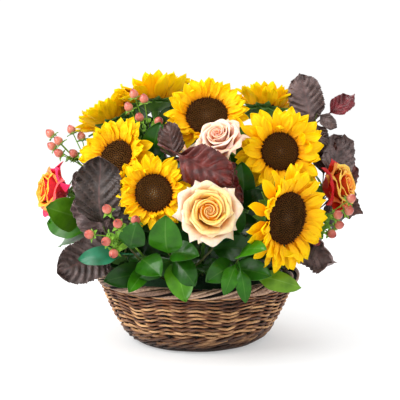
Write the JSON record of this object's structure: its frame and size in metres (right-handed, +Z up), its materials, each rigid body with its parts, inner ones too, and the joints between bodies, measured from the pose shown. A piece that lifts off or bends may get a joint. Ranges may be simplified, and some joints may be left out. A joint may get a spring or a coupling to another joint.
{
  "type": "flower basket arrangement",
  "caption": "Low round willow basket holding a dome of sunflowers, roses, coral berries, purple hazel leaves and glossy green foliage, for display on a table.",
  "frame": {"origin": "middle of the basket's flat underside, on the surface that it stands on", "axes": "+Z up; -Y towards the front of the arrangement, which is the pictured side; +X to the right as seen from the front"},
  "size_m": [0.4399, 0.424, 0.3756],
  "materials": {
    "willow": "satin",
    "willow_border": "satin",
    "film": "satin",
    "foam": "matte",
    "stem": "satin",
    "sunflower_disc": "matte",
    "sunflower_petal": "matte",
    "peach_rose": "matte",
    "blush_rose": "matte",
    "orange_rose": "matte",
    "red_orange_rose": "matte",
    "berry": "satin",
    "hazel_leaf": "satin",
    "green_leaf": "satin"
  },
  "bodies": {
    "root": {"basket_base": "willow", "basket_wall": "willow", "basket_border": "willow_border", "film_liner": "film", "floral_foam": "foam", "sunflower_front_left_green": "stem", "sunflower_front_left_disc": "sunflower_disc", "sunflower_front_left_rays": "sunflower_petal", "sunflower_front_right_green": "stem", "sunflower_front_right_disc": "sunflower_disc", "sunflower_front_right_rays": "sunflower_petal", "sunflower_right_green": "stem", "sunflower_right_disc": "sunflower_disc", "sunflower_right_rays": "sunflower_petal", "sunflower_top_green": "stem", "sunflower_top_disc": "sunflower_disc", "sunflower_top_rays": "sunflower_petal", "sunflower_left_green": "stem", "sunflower_left_disc": "sunflower_disc", "sunflower_left_rays": "sunflower_petal", "sunflower_top_left_green": "stem", "sunflower_top_left_disc": "sunflower_disc", "sunflower_top_left_rays": "sunflower_petal", "sunflower_top_right_green": "stem", "sunflower_top_right_disc": "sunflower_disc", "sunflower_top_right_rays": "sunflower_petal", "sunflower_far_left_green": "stem", "sunflower_far_left_disc": "sunflower_disc", "sunflower_far_left_rays": "sunflower_petal", "sunflower_back_left_green": "stem", "sunflower_back_left_disc": "sunflower_disc", "sunflower_back_left_rays": "sunflower_petal", "sunflower_back_right_green": "stem", "sunflower_back_right_disc": "sunflower_disc", "sunflower_back_right_rays": "sunflower_petal", "rose_peach_petals": "peach_rose", "rose_peach_green": "stem", "rose_blush_petals": "blush_rose", "rose_blush_green": "stem", "rose_orange_left_petals": "orange_rose", "rose_orange_left_green": "stem", "rose_orange_right_petals": "red_orange_rose", "rose_orange_right_green": "stem", "rose_back_petals": "peach_rose", "rose_back_green": "stem", "hypericum_left_high": "berry", "hypericum_top_left": "berry", "hypericum_front_left": "berry", "hypericum_right_low": "berry", "hypericum_back": "berry", "hazel_left": "hazel_leaf", "hazel_centre": "hazel_leaf", "hazel_top_right": "hazel_leaf", "hazel_right": "hazel_leaf", "hazel_back": "hazel_leaf", "greens_left": "green_leaf", "greens_front_left": "green_leaf", "greens_front": "green_leaf", "greens_front_right": "green_leaf", "greens_back": "green_leaf"}
  },
  "joints": []
}
